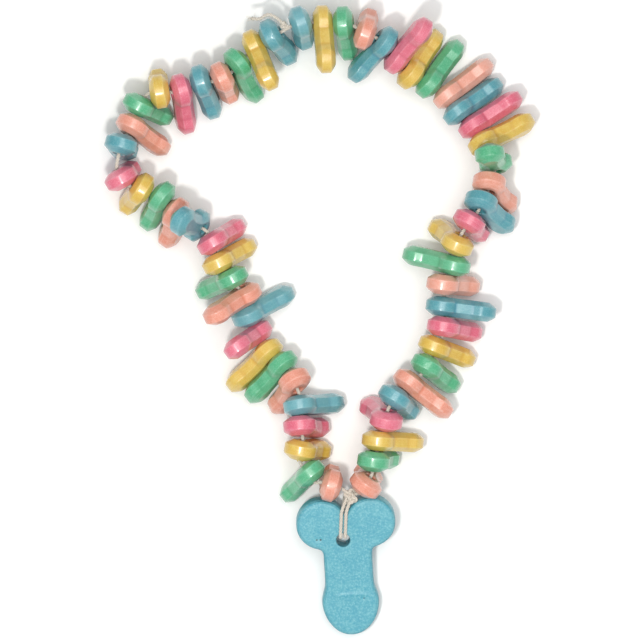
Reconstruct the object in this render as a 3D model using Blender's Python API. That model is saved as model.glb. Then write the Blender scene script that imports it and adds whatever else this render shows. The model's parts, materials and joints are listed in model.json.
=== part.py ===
# Candy necklace: a closed loop of pressed sugar beads on a knotted string, with one larger
# flat candy pendant. It lies on a table, seen from above as in the photograph: the photo's
# upward direction is +Y and the table is z = 0.

import math
import random

import bmesh
import bpy
from mathutils import Matrix, Vector
from mathutils.bvhtree import BVHTree

MM = 0.001

# Scale of the photograph, which looks straight down on the necklace.
MM_PER_PIXEL = 0.32
PHOTO_CENTRE = 320

# Small bead. Its hole is at the origin along Z and its head points along +X.
BALL_RADIUS = 5.4 * MM
BALL_CENTRE = -0.8 * MM
NOTCH_ANGLE = 45
SHAFT_HALF_WIDTH = 3.8 * MM
NECK_FROM_HOLE = 8.8 * MM
SHOULDER_FROM_HOLE = 11.4 * MM
SHOULDER_HALF_WIDTH = 4.8 * MM
TIP_FROM_HOLE = 17.1 * MM
BEAD_THICKNESS = 6.3 * MM
BEAD_BELLY = 2.8 * MM
BEAD_CHAMFER_WIDTH = 2.4 * MM
BEAD_HOLE_RADIUS = 1.85 * MM
BEAD_UNEVENNESS = 0.02

# What a bead spans along its long direction when it lies flat, and when it stands on its head.
SPAN_FLAT = BALL_RADIUS - BALL_CENTRE + TIP_FROM_HOLE
SPAN_UPRIGHT = 10.2 * MM

# Pendant. Its hole is at the origin along Z, a little left of its middle line, and its tip
# points along -Y.
LOBE_RADIUS = 8.3 * MM
LOBE_OFFSET = 7.75 * MM
LOBE_ABOVE_HOLE = 5.2 * MM
PENDANT_HALF_WIDTH = 7.8 * MM
PENDANT_NOTCH = -5.2 * MM
PENDANT_NECK = -15.7 * MM
PENDANT_SHOULDER = -19.9 * MM
PENDANT_SHOULDER_HALF_WIDTH = 9.25 * MM
PENDANT_TIP = -31.6 * MM
PENDANT_MIDDLE = 1.2 * MM
PENDANT_THICKNESS = 8.0 * MM
PENDANT_BELLY = 6.0 * MM
PENDANT_CHAMFER_WIDTH = 1.1 * MM
PENDANT_HOLE_RADIUS = 2.35 * MM
PENDANT_PIXEL = (343, 537.6)
PENDANT_TURN = 3.6
PENDANT_TILT = 12

# String, its knots and its tail.
STRING_RADIUS = 0.62 * MM
STRAND_OFFSET = 0.75 * MM
KNOT_PIXEL = (350.3, 494.3)
KNOT_HEIGHT = 15.6 * MM
KNOT_RADII = (1.7 * MM, 1.9 * MM, 1.5 * MM)
LOWER_KNOT_PIXEL = (351.8, 499.0)
LOWER_KNOT_HEIGHT = 16.1 * MM
LOWER_KNOT_RADII = (1.6 * MM, 1.3 * MM, 1.3 * MM)
TIE_RADII = (1.3 * MM, 1.1 * MM, 1.2 * MM)
TIE_AFTER_BEAD = 29
SHORT_GAP = 2.4 * MM
TAIL_PIXELS = [(284, 25.5), (276.5, 18.5), (268, 15), (260, 19), (252, 18.5)]
TAIL_RISE = [0, 0.5, 0.3, -1.2, -3.0]

# Gap kept between touching pieces, and how the chain lies over the beads that carry it.
GAP = 0.05 * MM
CHAIN_SLOPE = 0.28
SETTLE_STEP = 0.04 * MM
SETTLE_ROUNDS = 1000
NEIGHBOUR_REACH = 5
TURNING_REACH = 6 * MM
MOST_SWING = math.radians(10)
MOST_MISMATCH = 1.9 * MM
HOMING = 0.05
HOMING_SHARE = 0.6

COLOURS = {
    "orange": (0.86, 0.35, 0.22),
    "green": (0.13, 0.52, 0.26),
    "yellow": (0.75, 0.49, 0.10),
    "pink": (0.79, 0.20, 0.28),
    "blue": (0.14, 0.40, 0.49),
    "pendant_blue": (0.21, 0.56, 0.67),
    "string": (0.60, 0.54, 0.45),
}

# Beads in their order along the string, from the pendant's left side round the loop: colour,
# ball end and head end in photo pixels, how far the face towards the next bead tilts up, in
# degrees (0 follows the chain), and whether the head end lies below or above the hole.
BEADS = [
    ("orange", (326.5, 501), (336.5, 465), 4, "down"),
    ("green", (322, 461), (280, 496.5), 0, "down"),
    ("yellow", (284.7, 446.7), (333, 452.3), 0, "down"),
    ("pink", (282.6, 424.3), (329.2, 428.4), 0, "down"),
    ("blue", (282.2, 407.4), (343.3, 397.8), 0, "down"),
    ("orange", (309, 374.5), (262, 399), -22, "down"),
    ("green", (295.4, 354.4), (244.3, 398.3), 0, "down"),
    ("yellow", (281, 342.4), (224, 383), 0, "down"),
    ("pink", (271.8, 324.9), (226.8, 356.1), 0, "up"),
    ("blue", (233.6, 323.1), (294.8, 293.2), 0, "down"),
    ("orange", (260.9, 285.5), (200.9, 311.9), 0, "up"),
    ("green", (248, 270.6), (194.7, 289.9), 0, "down"),
    ("yellow", (199.2, 268.9), (252, 241.3), 0, "down"),
    ("pink", (192.9, 249.1), (237, 218), 0, "down"),
    ("blue", (200.2, 211.5), (185, 244), -20, "up"),
    ("orange", (189.7, 200.6), (161.6, 245), -12, "down"),
    ("green", (173.2, 184.4), (144.8, 230.4), -6, "down"),
    ("yellow", (158, 170.1), (131.4, 209.8), 0, "down"),
    ("pink", (107.3, 186.7), (140.1, 164.6), 0, "down"),
    ("blue", (105.9, 143.9), (138.9, 153.7), 0, "down"),
    ("orange", (121.2, 121.5), (174.6, 150.1), 0, "down"),
    ("green", (126, 99.5), (174.6, 124), 0, "down"),
    ("yellow", (166.3, 107.8), (165.5, 66.3), 0, "down"),
    ("pink", (176.3, 75.4), (196.7, 132.6), 0, "down"),
    ("blue", (194, 65), (218.6, 116.1), 0, "down"),
    ("orange", (215, 59.6), (236.6, 98.7), 0, "down"),
    ("green", (231.8, 47.3), (264.2, 96.7), 0, "down"),
    ("yellow", (245.9, 33.2), (284.9, 87), 0, "up"),
    ("blue", (263.8, 23.2), (292.8, 66.3), 0, "down"),
    ("blue", (294.5, 10), (301.5, 54), 0, "down"),
    ("yellow", (313.5, 9.3), (318, 78.2), 0, "up"),
    ("green", (339.6, 6.3), (336.3, 60.5), 0, "down"),
    ("orange", (354.9, 49.9), (373.3, 10.3), 0, "down"),
    ("blue", (393.1, 27.9), (355.7, 83.6), 0, "down"),
    ("pink", (388.7, 72.6), (422.4, 15.8), 0, "up"),
    ("yellow", (401.9, 88), (445.2, 34.5), 0, "down"),
    ("green", (419, 98.6), (465, 45.5), 0, "down"),
    ("orange", (437.8, 106.4), (490.6, 58.7), 0, "down"),
    ("blue", (445.4, 123.2), (501.9, 83.3), 0, "down"),
    ("pink", (461.3, 136.4), (522.5, 97.5), 0, "down"),
    ("yellow", (468.5, 155.6), (532.7, 123.6), 0, "down"),
    ("green", (508.7, 154.1), (471.8, 160.5), 13, "up"),
    ("orange", (475, 176), (524, 181), 28, "down"),
    ("blue", (467.4, 198.5), (521.2, 215.5), 25, "down"),
    ("pink", (446, 212), (483, 232.5), 0, "down"),
    ("yellow", (473.1, 249.6), (427, 228.5), 0, "down"),
    ("green", (470.8, 268.8), (402.5, 254.2), 0, "down"),
    ("orange", (425.7, 281.7), (481.3, 289), 0, "down"),
    ("blue", (424.5, 304.1), (496.3, 313.3), 0, "down"),
    ("pink", (427.5, 324.8), (483.8, 333.6), 0, "down"),
    ("yellow", (418.5, 339.7), (475.6, 362.7), 0, "down"),
    ("green", (413, 357.9), (462.5, 386.7), 0, "down"),
    ("orange", (393.6, 374.3), (451.5, 415.4), 0, "down"),
    ("blue", (379.1, 389.6), (419.7, 413.1), 0, "down"),
    ("pink", (403.6, 422), (358, 417), -15, "down"),
    ("yellow", (364.2, 439), (427.8, 444.7), -4, "down"),
    ("green", (353.6, 455.1), (397.1, 459.4), -6, "down"),
    ("orange", (379.2, 495.5), (351.3, 473.8), -14, "down"),
]


def on_table(pixel, height=0.0):
    """World point over a pixel of the photograph."""
    scale = MM_PER_PIXEL * MM
    return Vector(((pixel[0] - PHOTO_CENTRE) * scale, (PHOTO_CENTRE - pixel[1]) * scale, height))


def clear_scene():
    for old in list(bpy.data.objects):
        bpy.data.objects.remove(old, do_unlink=True)


def make_materials():
    materials = {}
    for name, colour in COLOURS.items():
        material = bpy.data.materials.new(name)
        material.use_nodes = True
        shader = material.node_tree.nodes["Principled BSDF"]
        shader.inputs["Base Color"].default_value = (*colour, 1.0)
        shader.inputs["Roughness"].default_value = 0.8 if name == "string" else 0.45
        shader.inputs["Metallic"].default_value = 0.0
        materials[name] = material
    return materials


def add_object(name, mesh, collection, material):
    obj = bpy.data.objects.new(name, mesh)
    collection.objects.link(obj)
    if not mesh.materials:
        mesh.materials.append(material)
    obj.material_slots[0].link = "OBJECT"
    obj.material_slots[0].material = material
    return obj


def arc(centre, radii, start, stop, steps):
    """Points on an elliptic arc, both ends included, angles in degrees."""
    points = []
    for i in range(steps + 1):
        angle = math.radians(start + (stop - start) * i / steps)
        points.append((centre[0] + radii[0] * math.cos(angle), centre[1] + radii[1] * math.sin(angle)))
    return points


def bead_outline():
    """Round ball end, shaft and wider domed head, counter-clockwise."""
    ball = arc((BALL_CENTRE, 0), (BALL_RADIUS, BALL_RADIUS), NOTCH_ANGLE, 360 - NOTCH_ANGLE, 8)
    dome_length = TIP_FROM_HOLE - SHOULDER_FROM_HOLE
    dome = arc((SHOULDER_FROM_HOLE, 0), (dome_length, SHOULDER_HALF_WIDTH), -90, 90, 6)
    neck = (NECK_FROM_HOLE, SHAFT_HALF_WIDTH)
    return ball + [(neck[0], -neck[1])] + dome + [neck]


def pendant_outline():
    """Two round lobes above the hole, a shaft and a wider domed head, counter-clockwise."""
    cleft_angle = math.degrees(math.acos(-LOBE_OFFSET / LOBE_RADIUS))
    left = arc((-LOBE_OFFSET, LOBE_ABOVE_HOLE), (LOBE_RADIUS, LOBE_RADIUS), 180 - cleft_angle, 268, 9)
    right = [(-x, y) for x, y in reversed(left)]
    dome_depth = PENDANT_SHOULDER - PENDANT_TIP
    dome_radii = (PENDANT_SHOULDER_HALF_WIDTH, dome_depth)
    dome = arc((0, PENDANT_SHOULDER), dome_radii, 180, 360, 8)
    notch = (PENDANT_HALF_WIDTH, PENDANT_NOTCH)
    neck = (PENDANT_HALF_WIDTH, PENDANT_NECK)
    left_side = [(-notch[0], notch[1]), (-neck[0], neck[1])]
    outline = left + left_side + dome + [neck, notch] + right[:-1]
    return [(x + PENDANT_MIDDLE, y) for x, y in outline]


def pressed_tablet(name, outline, thickness, belly, chamfer_width, hole_radius, hole_sides):
    """Flat tablet of an outline, with a straight belly, chamfers all round and one hole."""
    bm = bmesh.new()
    base = bm.faces.new([bm.verts.new((x, y, -belly / 2)) for x, y in outline])
    raised = bmesh.ops.extrude_face_region(bm, geom=[base], use_keep_orig=True)
    top = [item for item in raised["geom"] if isinstance(item, bmesh.types.BMVert)]
    bmesh.ops.translate(bm, verts=top, vec=(0, 0, belly))
    bmesh.ops.recalc_face_normals(bm, faces=bm.faces)
    caps = [face for face in bm.faces if abs(face.normal.z) > 0.5]
    depth = (thickness - belly) / 2
    for cap in caps:
        bmesh.ops.inset_region(bm, faces=[cap], thickness=chamfer_width, depth=depth,
                               use_even_offset=True)
    mesh = bpy.data.meshes.new(name)
    bm.to_mesh(mesh)
    bm.free()
    return drill(name, mesh, thickness, hole_radius, hole_sides)


def drill(name, mesh, thickness, radius, sides):
    """Cuts the string hole along Z and returns the finished mesh."""
    bm = bmesh.new()
    bmesh.ops.create_cone(bm, cap_ends=True, segments=sides, radius1=radius, radius2=radius,
                          depth=2 * thickness)
    bmesh.ops.rotate(bm, verts=bm.verts, matrix=Matrix.Rotation(math.pi / sides, 3, "Z"))
    cutter_mesh = bpy.data.meshes.new(name + "_drill")
    bm.to_mesh(cutter_mesh)
    bm.free()
    return boolean_mesh(name, mesh, [cutter_mesh], "DIFFERENCE")


def boolean_mesh(name, mesh, other_meshes, operation):
    """Mesh left by a Boolean of one mesh with a collection of others."""
    body = bpy.data.objects.new(name + "_body", mesh)
    bpy.context.scene.collection.objects.link(body)
    group = bpy.data.collections.new(name + "_tools")
    bpy.context.scene.collection.children.link(group)
    for other in other_meshes:
        group.objects.link(bpy.data.objects.new(other.name, other))
    modifier = body.modifiers.new("join", "BOOLEAN")
    modifier.operation = operation
    modifier.operand_type = "COLLECTION"
    modifier.collection = group
    modifier.solver = "EXACT"
    depsgraph = bpy.context.evaluated_depsgraph_get()
    result = bpy.data.meshes.new_from_object(body.evaluated_get(depsgraph))
    for tool in list(group.objects):
        bpy.data.objects.remove(tool, do_unlink=True)
    bpy.data.collections.remove(group)
    bpy.data.objects.remove(body, do_unlink=True)
    result.name = name
    result.materials.clear()
    return result


def read_beads():
    """Where each bead's hole is in plan, which way its head points and how far it dips."""
    beads = []
    for colour, ball_pixel, head_pixel, lean, side in BEADS:
        ball_end = on_table(ball_pixel)
        head_end = on_table(head_pixel)
        span = (head_end - ball_end).length
        flatness = max(0.0, min(1.0, (span - SPAN_UPRIGHT) / (SPAN_FLAT - SPAN_UPRIGHT)))
        along = (head_end - ball_end).normalized()
        hole = ball_end + along * (BALL_RADIUS - BALL_CENTRE * flatness)
        dip = math.acos(flatness) * (1 if side == "down" else -1)
        beads.append({"colour": colour, "along": along, "hole": hole, "dip": dip,
                      "lean": math.radians(lean), "size": Vector((1, 1, 1))})
    for i, bead in enumerate(beads):
        before = beads[i - 1]["hole"] if i else bead["hole"]
        after = beads[i + 1]["hole"] if i + 1 < len(beads) else bead["hole"]
        across = Vector((-bead["along"].y, bead["along"].x, 0))
        bead["across"] = across if across.dot(after - before) > 0 else -across
        bead["slope"] = 0.0
    return beads


def pose(bead):
    """Turns the bead mesh to the way this bead lies, without its place."""
    lean = bead["lean"] or math.atan(bead["slope"])
    axis = bead["across"] * math.cos(lean) + Vector((0, 0, math.sin(lean)))
    upright = Vector((0, 0, math.cos(lean))) - bead["across"] * math.sin(lean)
    head = bead["along"] * math.cos(bead["dip"]) - upright * math.sin(bead["dip"])
    side = axis.cross(head)
    turn = Matrix((head, side, axis)).transposed()
    return turn @ Matrix.Diagonal(bead["size"])


def place(bead):
    return Matrix.Translation(bead["hole"]) @ pose(bead).to_4x4()


def lay_chain(beads, mesh):
    """Heights of the holes: the chain hangs between the beads that stand highest."""
    corners = [vertex.co.copy() for vertex in mesh.vertices]
    along_chain = [0.0]
    for before, after in zip(beads, beads[1:]):
        along_chain.append(along_chain[-1] + (after["hole"] - before["hole"]).xy.length)
    for _ in range(3):
        reach = []
        for bead in beads:
            turn = pose(bead)
            reach.append(-min((turn @ corner).z for corner in corners))
        for i, bead in enumerate(beads):
            sagged = [r - CHAIN_SLOPE * abs(s - along_chain[i]) for r, s in zip(reach, along_chain)]
            bead["hole"].z = max(sagged)
        for i, bead in enumerate(beads):
            first = max(i - 1, 0)
            last = min(i + 1, len(beads) - 1)
            rise = beads[last]["hole"].z - beads[first]["hole"].z
            bead["slope"] = rise / (along_chain[last] - along_chain[first])
    for bead in beads:
        turn = pose(bead)
        lowest = -min((turn @ corner).z for corner in corners)
        bead["hole"].z = max(bead["hole"].z, lowest)


def world_tree(mesh, matrix, grow):
    """Search tree of a mesh in place, its surface moved out by half the gap."""
    points = [matrix @ (vertex.co + vertex.normal * grow) for vertex in mesh.vertices]
    return BVHTree.FromPolygons(points, [tuple(face.vertices) for face in mesh.polygons])


def mouth(bead, end):
    """Centre of the hole where the string goes in (end -1) or comes out (end 1)."""
    return bead["hole"] + pose(bead).col[2] * (end * BEAD_THICKNESS / 2)


def swing(bead, angle):
    """Turns a bead about the vertical through its hole, no further than its allowance."""
    angle = max(-MOST_SWING - bead["swung"], min(MOST_SWING - bead["swung"], angle))
    turn = Matrix.Rotation(angle, 3, "Z")
    bead["swung"] += angle
    bead["along"] = turn @ bead["along"]
    bead["across"] = turn @ bead["across"]


def push(bead, direction, contact):
    """Moves a bead a step and turns it as a push at the contact point would."""
    bead["hole"] += direction * SETTLE_STEP
    lever = contact - bead["hole"]
    swing(bead, lever.cross(direction).z * SETTLE_STEP / TURNING_REACH ** 2)


def contact_point(mesh, matrix, pairs):
    """Mean place of the faces of a mesh that touch another one."""
    centres = [mesh.polygons[first].center for first, _ in pairs]
    return matrix @ (sum(centres, Vector()) / len(centres))


def line_up(bead, other):
    """Brings two neighbouring holes towards one line when the string could not pass."""
    offset = mouth(other, -1) - mouth(bead, 1)
    direction = (pose(bead).col[2] + pose(other).col[2]).normalized()
    sideways = offset - direction * offset.dot(direction)
    if sideways.length < MOST_MISMATCH:
        return False
    step = sideways.normalized() * SETTLE_STEP
    bead["hole"] += Vector((step.x, step.y, max(step.z, 0)))
    other["hole"] -= Vector((step.x, step.y, min(step.z, 0)))
    return True


def settle(beads, mesh, pendant_mesh, pendant_place):
    """Slides and turns the beads until each is clear of what is near it."""
    grow = GAP / 2
    fixed = world_tree(pendant_mesh, pendant_place, grow)
    trees = [world_tree(mesh, place(bead), grow) for bead in beads]
    for bead in beads:
        bead["swung"] = 0.0
        bead["home"] = bead["hole"].copy()
    count = len(beads)
    for settling_round in range(SETTLE_ROUNDS):
        moved = set()
        for i, bead in enumerate(beads):
            for k in range(1, NEIGHBOUR_REACH):
                j = (i + k) % count
                other = beads[j]
                pairs = trees[i].overlap(trees[j])
                if not pairs:
                    continue
                if k == 1 and j:
                    away = (bead["across"] + other["across"]).normalized()
                else:
                    away = (other["hole"] - bead["hole"]).xy.to_3d().normalized()
                contact = contact_point(mesh, place(bead), pairs)
                push(bead, -away, contact)
                push(other, away, contact)
                moved.update((i, j))
            pairs = trees[i].overlap(fixed)
            if pairs:
                away = (bead["hole"] - pendant_place.translation).xy.to_3d().normalized()
                push(bead, away, contact_point(mesh, place(bead), pairs))
                moved.add(i)
            if i + 1 < count and line_up(bead, beads[i + 1]):
                moved.update((i, i + 1))
        if not moved:
            break
        if settling_round < SETTLE_ROUNDS * HOMING_SHARE:
            for i, bead in enumerate(beads):
                bead["hole"] += (bead["home"] - bead["hole"]) * HOMING
                swing(bead, -bead["swung"] * HOMING)
            moved = range(count)
        for i in moved:
            trees[i] = world_tree(mesh, place(beads[i]), grow)


def tube(name, points, radius, closed):
    """String of a given route, as a welded mesh."""
    curve = bpy.data.curves.new(name, "CURVE")
    curve.dimensions = "3D"
    curve.bevel_depth = radius
    curve.bevel_resolution = 2
    curve.use_fill_caps = not closed
    spline = curve.splines.new("POLY")
    spline.points.add(len(points) - 1)
    for point, spot in zip(spline.points, points):
        point.co = (*spot, 1.0)
    spline.use_cyclic_u = closed
    obj = bpy.data.objects.new(name, curve)
    bpy.context.scene.collection.objects.link(obj)
    depsgraph = bpy.context.evaluated_depsgraph_get()
    mesh = bpy.data.meshes.new_from_object(obj.evaluated_get(depsgraph))
    bpy.data.objects.remove(obj, do_unlink=True)
    bm = bmesh.new()
    bm.from_mesh(mesh)
    bmesh.ops.remove_doubles(bm, verts=bm.verts, dist=0.001 * MM)
    bmesh.ops.recalc_face_normals(bm, faces=bm.faces)
    bm.to_mesh(mesh)
    bm.free()
    return mesh


def knot_mesh(name, centre, radii, turn):
    """Pulled-tight knot, plain and rounded."""
    bm = bmesh.new()
    bmesh.ops.create_uvsphere(bm, u_segments=10, v_segments=6, radius=1.0)
    bmesh.ops.scale(bm, verts=bm.verts, vec=radii)
    bmesh.ops.rotate(bm, verts=bm.verts, matrix=Matrix.Rotation(math.radians(turn), 3, "Z"))
    bmesh.ops.translate(bm, verts=bm.verts, vec=centre)
    mesh = bpy.data.meshes.new(name)
    bm.to_mesh(mesh)
    bm.free()
    return mesh


def smooth_route(points, steps):
    """Catmull-Rom curve through the given points."""
    padded = [points[0] * 2 - points[1]] + list(points) + [points[-1] * 2 - points[-2]]
    route = []
    for a, b, c, d in zip(padded, padded[1:], padded[2:], padded[3:]):
        for i in range(steps):
            t = i / steps
            route.append(0.5 * (2 * b + (c - a) * t + (2 * a - 5 * b + 4 * c - d) * t * t
                                + (3 * b - a - 3 * c + d) * t ** 3))
    route.append(points[-1])
    return route


def pendant_strand(side, pendant_place, knot):
    """One strand: over the pendant's face, through its hole and back up behind it."""
    x = side * STRAND_OFFSET / MM
    ride = (PENDANT_THICKNESS / 2 + GAP + STRING_RADIUS) / MM
    local = [(x + 0.9, 9.6, ride), (x + 0.5, 7.0, ride), (x + 0.1, 2.9, ride), (x, 1.6, 4.8),
             (x, 0.9, 3.5), (x, 0.8, 0.0), (x, 0.9, -3.5), (x, 1.6, -4.8),
             (x, 2.9, -ride), (x + 1.4, 8.5, -ride), (x + 2.2, 12.8, -3.6)]
    route = [pendant_place @ (Vector(point) * MM) for point in local]
    return [knot + Vector((x, 0, 0)) * MM] + route + [knot + Vector((x, 0, -1.2)) * MM]


def string_mesh(beads, pendant_place):
    """The whole string: round the loop, both knots, the strands on the pendant and the tail."""
    knot = on_table(KNOT_PIXEL, KNOT_HEIGHT)
    route = [knot, mouth(beads[0], -1)]
    for bead, other in zip(beads, beads[1:]):
        leaving, entering = mouth(bead, 1), mouth(other, -1)
        if (entering - leaving).length < SHORT_GAP:
            route.append((leaving + entering) / 2)
        else:
            route += [leaving, entering]
    route.append(mouth(beads[-1], 1))
    loop = tube("string_loop", route, STRING_RADIUS, True)
    lower = on_table(LOWER_KNOT_PIXEL, LOWER_KNOT_HEIGHT)
    parts = [knot_mesh("pendant_knot", knot, KNOT_RADII, -20),
             knot_mesh("lower_knot", lower, LOWER_KNOT_RADII, 15)]
    for side in (-1, 1):
        parts.append(tube("strand", pendant_strand(side, pendant_place, knot), STRING_RADIUS, False))
    before, after = beads[TIE_AFTER_BEAD - 1], beads[TIE_AFTER_BEAD]
    tie = (mouth(before, 1) + mouth(after, -1)) / 2
    tail = [on_table(pixel, tie.z + rise * MM) for pixel, rise in zip(TAIL_PIXELS, TAIL_RISE)]
    parts.append(knot_mesh("tie_knot", tail[0], TIE_RADII, 40))
    parts.append(tube("tail", smooth_route([tie] + tail, 2), STRING_RADIUS, False))
    return boolean_mesh("string", loop, parts, "UNION")


def centre_on_origin(objects):
    """Moves the whole necklace so that its box stands on z = 0, centred over the origin."""
    corners = []
    for obj in objects:
        matrix = obj.matrix_basis
        corners += [matrix @ vertex.co for vertex in obj.data.vertices]
    low = Vector([min(c[k] for c in corners) for k in range(3)])
    high = Vector([max(c[k] for c in corners) for k in range(3)])
    shift = Vector((-(low.x + high.x) / 2, -(low.y + high.y) / 2, -low.z))
    for obj in objects:
        obj.matrix_basis = Matrix.Translation(shift) @ obj.matrix_basis


def build():
    clear_scene()
    collection = bpy.data.collections.new("candy_necklace")
    bpy.context.scene.collection.children.link(collection)
    materials = make_materials()

    bead_mesh = pressed_tablet("bead", bead_outline(), BEAD_THICKNESS, BEAD_BELLY,
                               BEAD_CHAMFER_WIDTH, BEAD_HOLE_RADIUS, 8)
    pendant_mesh = pressed_tablet("pendant", pendant_outline(), PENDANT_THICKNESS, PENDANT_BELLY,
                                  PENDANT_CHAMFER_WIDTH, PENDANT_HOLE_RADIUS, 12)

    turn = Matrix.Rotation(math.radians(PENDANT_TURN), 4, "Z")
    tilt = Matrix.Rotation(math.radians(PENDANT_TILT), 4, "X")
    pendant_turn = turn @ tilt
    rest = -min((pendant_turn @ vertex.co).z for vertex in pendant_mesh.vertices)
    pendant_place = Matrix.Translation(on_table(PENDANT_PIXEL, rest)) @ pendant_turn

    rng = random.Random(58)
    beads = read_beads()
    for bead in beads:
        bead["size"] = Vector([1 + rng.uniform(-BEAD_UNEVENNESS, BEAD_UNEVENNESS) for _ in range(3)])
    lay_chain(beads, bead_mesh)
    settle(beads, bead_mesh, pendant_mesh, pendant_place)

    objects = []
    for number, bead in enumerate(beads, start=1):
        obj = add_object(f"bead_{number:02d}", bead_mesh, collection, materials[bead["colour"]])
        obj.matrix_basis = place(bead)
        objects.append(obj)
    pendant = add_object("pendant", pendant_mesh, collection, materials["pendant_blue"])
    pendant.matrix_basis = pendant_place
    string = add_object("string", string_mesh(beads, pendant_place), collection, materials["string"])
    objects += [pendant, string]
    centre_on_origin(objects)


build()
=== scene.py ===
import json
import math
import random

import bpy
import numpy as np
from mathutils import Matrix, Vector, geometry, noise


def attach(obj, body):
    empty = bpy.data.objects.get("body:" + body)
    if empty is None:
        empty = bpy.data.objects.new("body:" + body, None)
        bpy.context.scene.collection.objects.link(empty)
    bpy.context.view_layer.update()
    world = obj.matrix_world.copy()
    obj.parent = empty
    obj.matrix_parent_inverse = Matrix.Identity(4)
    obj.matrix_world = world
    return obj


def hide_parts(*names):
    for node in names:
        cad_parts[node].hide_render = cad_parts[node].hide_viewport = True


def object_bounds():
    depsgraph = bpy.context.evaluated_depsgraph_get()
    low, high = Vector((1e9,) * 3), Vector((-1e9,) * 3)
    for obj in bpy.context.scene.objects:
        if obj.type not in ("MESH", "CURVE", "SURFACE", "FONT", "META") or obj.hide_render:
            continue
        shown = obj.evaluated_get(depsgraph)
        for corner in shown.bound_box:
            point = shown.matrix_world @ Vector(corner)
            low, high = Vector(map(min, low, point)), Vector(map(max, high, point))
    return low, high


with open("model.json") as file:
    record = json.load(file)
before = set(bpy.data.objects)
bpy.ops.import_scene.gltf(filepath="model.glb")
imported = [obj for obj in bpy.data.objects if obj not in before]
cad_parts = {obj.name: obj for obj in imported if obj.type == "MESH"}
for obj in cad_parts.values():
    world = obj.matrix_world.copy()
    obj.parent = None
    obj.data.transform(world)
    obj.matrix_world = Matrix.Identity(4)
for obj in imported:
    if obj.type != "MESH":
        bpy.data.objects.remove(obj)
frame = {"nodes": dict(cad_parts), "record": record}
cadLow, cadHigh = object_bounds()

# Candy necklace: pressed sugar beads and a flat candy pendant on a knotted string.
# The making sizes are in millimetres; the finished meshes are in metres.
mm = 0.001

# The photo looks straight down: its size, its scale and the pendant's hole in it.
photo = {
    "pixels": 640,
    "mmPerPixel": 0.32,
    "centre": (320, 320),
    "pendantHole": (343, 537.6),
}


def onTable(pixel, height=0.0):
    scale = photo["mmPerPixel"] * mm
    x = (pixel[0] - photo["centre"][0]) * scale
    y = (photo["centre"][1] - pixel[1]) * scale
    return Vector((x, y, height))


def arcPoints(centre, radii, start, stop, steps):
    angles = np.radians(np.linspace(start, stop, steps + 1))
    return [(centre[0] + radii[0] * math.cos(a), centre[1] + radii[1] * math.sin(a)) for a in angles]


# Small bead, with its hole at the origin along Z and its head along +X.
bead = {
    "ballRadius": 5.33,
    "ballCentre": -0.8,
    "ballSteps": 60,
    "notchAngle": 45,
    "shaftHalfWidth": 3.78,
    "neck": 8.8,
    "shoulder": 11.4,
    "headHalfWidth": 4.8,
    "headSteps": 40,
    "tip": 17.05,
    "thickness": 6.3,
    "belly": 3.0,
    "bellyCrown": 0.03,
    "chamfer": 2.4,
    "chamferCrown": 0.05,
    "ridgeRadius": 0.1,
    "holeRadius": 1.72,
    "lipRadius": 2.05,
    "spacing": 0.42,
    "softness": 0.2,
    "faceGrid": 0.62,
    "bumpiness": 0.03,
    "chips": 5,
    "toneSeed": 400,
    "toneSpread": 0.18,
    "paler": {5: 0.3, 10: 0.22, 30: 0.3, 38: 0.28, 47: 0.2, 48: 0.22},
}


def beadOutline():
    b = bead
    turn = b["notchAngle"]
    ball = arcPoints((b["ballCentre"], 0), (b["ballRadius"],) * 2, turn, 360 - turn, b["ballSteps"])
    headRadii = (b["tip"] - b["shoulder"], b["headHalfWidth"])
    head = arcPoints((b["shoulder"], 0), headRadii, -90, 90, b["headSteps"])
    neck = (b["neck"], b["shaftHalfWidth"])
    return ball + [(neck[0], -neck[1])] + head + [neck]


# Pendant, with its hole at the origin along Z and its tip along -Y.
pendant = {
    "middle": 1.2,  # the outline's centre line, to the right of the hole
    "lobeRadius": 8.24,
    "lobeOffset": 7.75,
    "lobeAboveHole": 5.2,
    "lobeEnd": 268,
    "shaftHalfWidth": 7.8,
    "notch": -5.2,
    "neck": -15.7,
    "shoulder": -19.9,
    "headHalfWidth": 9.25,
    "arcSteps": 60,
    "tip": -31.57,
    "solidTip": -31.6,
    "thickness": 8.0,
    "belly": 6.0,
    "bellyCrown": 0.08,
    "chamfer": 1.1,
    "chamferCrown": 0.12,
    "ridgeRadius": 0.4,
    "holeRadius": 2.2,
    "lipRadius": 2.5,
    "spacing": 0.5,
    "softness": 1.0,
    "faceGrid": 0.45,
    "bumpiness": 0.05,
    "chips": 7,
    "seed": 900,
    "tone": 0.05,
    "ridgeShare": 0.8,  # its edges are rubbed less than the beads'
    # share of the painted shade in the notches and the bore that the pendant gets
    "creaseShadeShare": 0.4,
    "faceMargin": 0.05,
    "faceSink": 0.03,
    "turn": 3.6,  # degrees about Z
    "tilt": 12,  # degrees that the lobes are raised by
}
# The raised line across the face where the head begins, with a faint trough above it.
headLine = {
    "at": -18.2,
    "bend": 0.012,
    "offset": 0.2,
    "sideways": 0.8,
    "halfLength": 6.2,
    "height": 0.15,
    "width": 0.45,
    "troughAt": 1.3,
    "troughWidth": 0.9,
    "troughShare": 0.5,
}
# Small pits in the face with a dark speck in each.
pits = {
    "places": [(-8.4, 0.55), (-7.2, 0.55), (5.5, -19.5)],
    "speckRadii": [0.34, 0.42, 0.26],
    "radius": 0.7,
    "depth": 0.22,
}


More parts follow.
